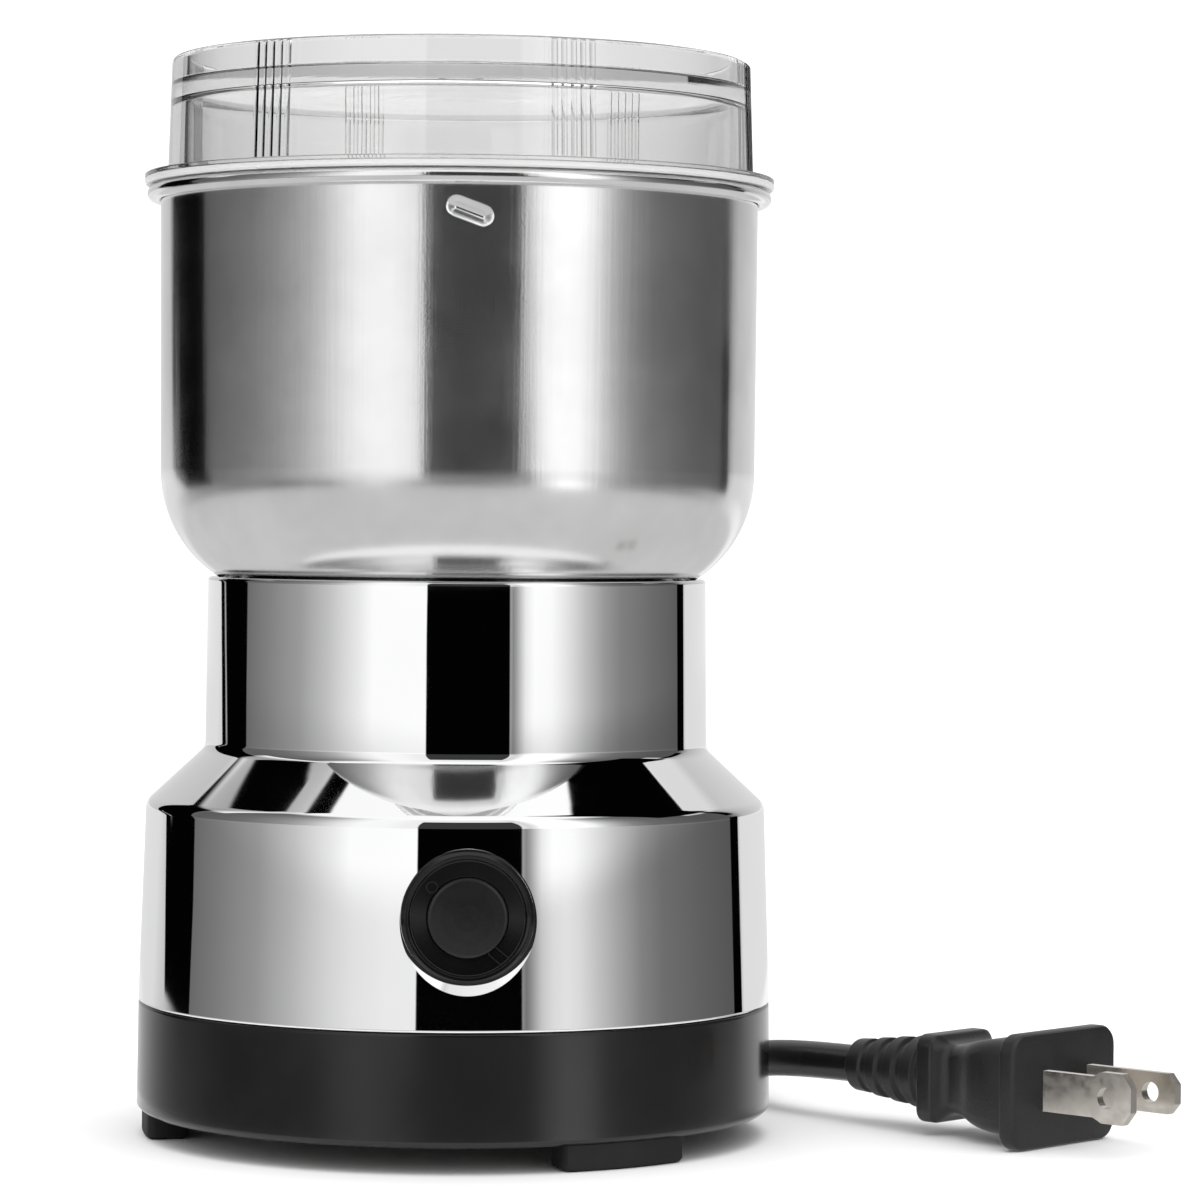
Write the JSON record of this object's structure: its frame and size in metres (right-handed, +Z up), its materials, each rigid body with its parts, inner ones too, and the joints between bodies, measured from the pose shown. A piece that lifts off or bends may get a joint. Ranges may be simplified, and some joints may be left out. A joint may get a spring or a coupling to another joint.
{
  "type": "electric spice grinder",
  "caption": "Push-button electric spice and coffee grinder with plated motor housing, steel bowl, spinning blade, clear twist-lock lid and mains cord with plug.",
  "frame": {"origin": "centre of the round base, on the plane of the feet", "axes": "+Z up along the motor shaft, -Y towards the push button at the front, +X to the right seen from the front"},
  "size_m": [0.1623, 0.2337, 0.1689],
  "materials": {
    "black_shell": "satin moulded black",
    "foot_rubber": "matt black",
    "zinc_steel": "zinc plated",
    "plated_shell": "mirror bright plating",
    "bowl_steel": "satin drawn stainless steel",
    "seal_rubber": "matt",
    "stainless": "polished stainless steel",
    "cast_alloy": "as cast",
    "filled_nylon": "matt moulded",
    "bearing_bronze": "sintered bronze",
    "lamination_steel": "stacked electrical steel sheet",
    "copper_wire": "enamelled copper wire",
    "ground_steel": "ground",
    "commutator_copper": "turned copper",
    "dark_resin": "moulded resin",
    "white_nylon": "matt",
    "fan_nylon": "matt moulded",
    "terminal_brass": "pressed brass",
    "carbon": "graphite",
    "spring_steel": "drawn wire",
    "switch_plastic": "satin to gloss black",
    "clear_lid": "clear polished",
    "clear_seal": "translucent",
    "cord_pvc": "smooth black",
    "lead_insulation": "smooth",
    "tie_pvc": "smooth black",
    "plug_pvc": "fine grained black",
    "nickel": "nickel plated"
  },
  "bodies": {
    "housing": {"base_cover": "black_shell", "rubber_feet": "foot_rubber", "base_screws": "zinc_steel", "motor_housing": "plated_shell", "bowl": "bowl_steel", "bowl_gasket": "seal_rubber", "bowl_screws": "stainless", "shaft_seal": "seal_rubber", "upper_bracket": "cast_alloy", "lower_bracket": "filled_nylon", "motor_screws": "zinc_steel", "upper_bearing": "bearing_bronze", "lower_bearing": "bearing_bronze", "stator_core": "lamination_steel", "field_coils": "copper_wire", "brush_holders": "terminal_brass", "carbon_brushes": "carbon", "brush_springs": "spring_steel", "switch_bezel": "switch_plastic", "switch_nut": "filled_nylon", "switch_body": "filled_nylon", "switch_terminals": "terminal_brass", "button_spring": "spring_steel", "strain_relief": "cord_pvc", "cord_core": "cord_pvc", "cord_clamp": "filled_nylon", "clamp_screws": "zinc_steel", "lead_wires": "lead_insulation", "cord_lead_in": "cord_pvc", "cord_lead_out": "cord_pvc", "cord_coil": "cord_pvc", "cord_tie": "tie_pvc", "plug_body": "plug_pvc", "plug_blades": "nickel"},
    "rotor": {"shaft": "ground_steel", "armature_core": "lamination_steel", "armature_windings": "copper_wire", "commutator": "commutator_copper", "commutator_hub": "dark_resin", "cooling_fan": "fan_nylon", "thrust_washers": "white_nylon", "blade_spacer": "stainless", "blade": "stainless", "blade_nut": "stainless"},
    "button": {"push_button": "switch_plastic"},
    "seal_ring": {"lid_seal": "clear_seal"},
    "lid": {"lid": "clear_lid"}
  },
  "joints": [
    {"name": "rotor_spin", "type": "hinge", "parent": "housing", "child": "rotor", "pos_m": [0, 0, 0.05], "axis": [0, 0, 1], "continuous": true},
    {"name": "button_press", "type": "slide", "parent": "housing", "child": "button", "axis": [-0.0384, 0.9993, 0], "range_m": [0, 0.0025], "stiffness_N_per_m": 600, "deforming": ["button_spring"]},
    {"name": "lid_lift", "type": "slide", "parent": "housing", "child": "seal_ring", "axis": [0, 0, 1], "range_m": [0, 0.06]},
    {"name": "lid_twist", "type": "hinge", "parent": "seal_ring", "child": "lid", "pos_m": [0, 0, 0.15], "axis": [0, 0, 1], "range_deg": [-25, 0]}
  ]
}
